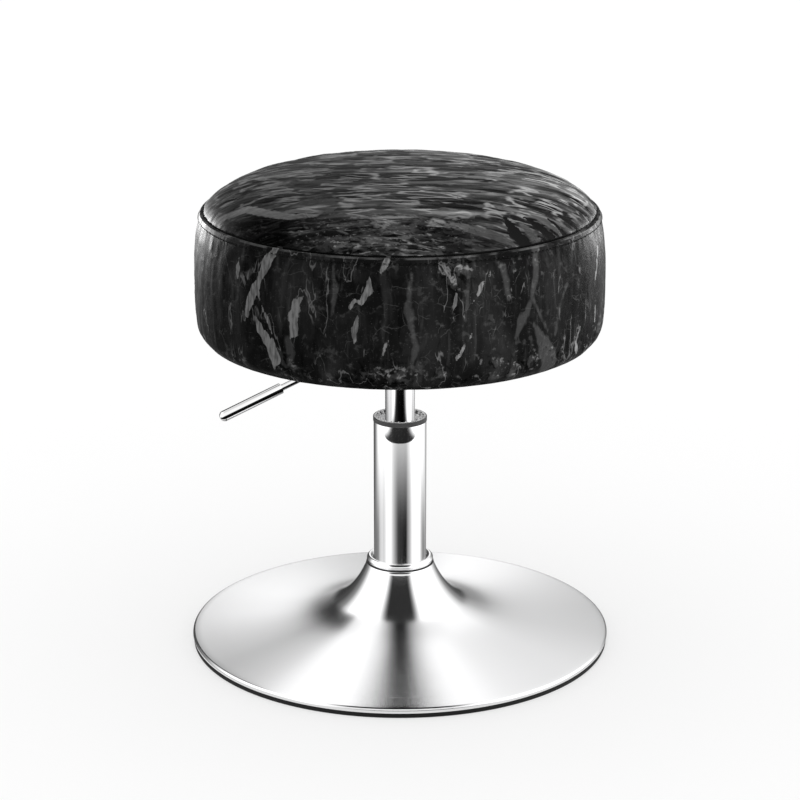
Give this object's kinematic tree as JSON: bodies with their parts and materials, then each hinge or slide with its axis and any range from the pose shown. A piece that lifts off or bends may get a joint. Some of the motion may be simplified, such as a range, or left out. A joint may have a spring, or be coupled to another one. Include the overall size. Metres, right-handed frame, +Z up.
{
  "type": "swivel vanity stool",
  "caption": "Round padded vanity stool that swivels and rises on a gas lift column, with a height lever under the seat and a flared metal base.",
  "frame": {"origin": "centre of the floor ring, on the floor", "axes": "+Z up along the column, -Y to the front, the height lever towards -X and -Y"},
  "size_m": [0.4, 0.4, 0.4563],
  "materials": {
    "chrome": "polished",
    "satin_chrome": "satin",
    "zinc_steel": "satin",
    "ground_steel": "gloss",
    "black_steel": "satin",
    "black_rubber": "matte",
    "dark_plastic": "satin",
    "grey_plastic": "satin",
    "cover_leather": "satin",
    "foam": "matte",
    "plywood": "matte",
    "dust_cloth": "matte"
  },
  "bodies": {
    "base": {"base_shell": "satin_chrome", "floor_ring": "black_rubber", "hub_socket": "zinc_steel", "brace_plate": "zinc_steel", "column_tube": "chrome", "trim_ring": "chrome", "collar_ring": "dark_plastic", "guide_bush": "grey_plastic", "end_plate": "zinc_steel", "bearing_lower_race": "ground_steel"},
    "cage": {"bearing_cage": "ground_steel"},
    "rod": {"bearing_upper_race": "ground_steel", "piston_rod": "ground_steel", "rod_washer": "zinc_steel", "rod_clip": "black_steel", "bumper": "black_rubber", "piston_head": "zinc_steel", "piston_seal": "black_rubber"},
    "lift": {"gas_cylinder": "chrome", "cylinder_end_guide": "zinc_steel", "taper_socket": "black_steel", "plate_channel": "black_steel", "seat_plate": "black_steel", "lever_pivot_pin": "zinc_steel", "plate_bolt_1": "zinc_steel", "plate_bolt_2": "zinc_steel", "plate_bolt_3": "zinc_steel", "plate_bolt_4": "zinc_steel", "tee_nut_1": "zinc_steel", "tee_nut_2": "zinc_steel", "tee_nut_3": "zinc_steel", "tee_nut_4": "zinc_steel", "seat_board": "plywood", "seat_foam": "foam", "cover_top": "cover_leather", "seam_welt": "cover_leather", "cover_side": "cover_leather", "dust_cover": "dust_cloth"},
    "lever": {"lever_rod": "zinc_steel", "lever_grip": "chrome"},
    "valve": {"valve_pin": "ground_steel"}
  },
  "joints": [
    {"name": "seat_swivel", "type": "hinge", "parent": "base", "child": "rod", "pos_m": [0, 0, 0.0249], "axis": [0, 0, 1], "continuous": true},
    {"name": "cage_roll", "type": "hinge", "parent": "base", "child": "cage", "pos_m": [0, 0, 0.0221], "axis": [0, 0, 1], "continuous": true},
    {"name": "seat_lift", "type": "slide", "parent": "rod", "child": "lift", "axis": [0, 0, 1], "range_m": [0, 0.1]},
    {"name": "lever_lift", "type": "hinge", "parent": "lift", "child": "lever", "pos_m": [-0.02719, -0.01268, 0.2868], "axis": [-0.4226, 0.9063, 0], "range_deg": [0, 6], "stiffness_Nm_per_rad": 30, "springref_deg": -2.86},
    {"name": "valve_press", "type": "slide", "parent": "lift", "child": "valve", "axis": [0, 0, -1], "range_m": [0, 0.0032]}
  ],
  "couplings": [
    {"joint": "cage_roll", "follows": "seat_swivel", "ratio": 0.5},
    {"joint": "valve_press", "follows": "lever_lift", "m_per_rad": 0.03}
  ]
}
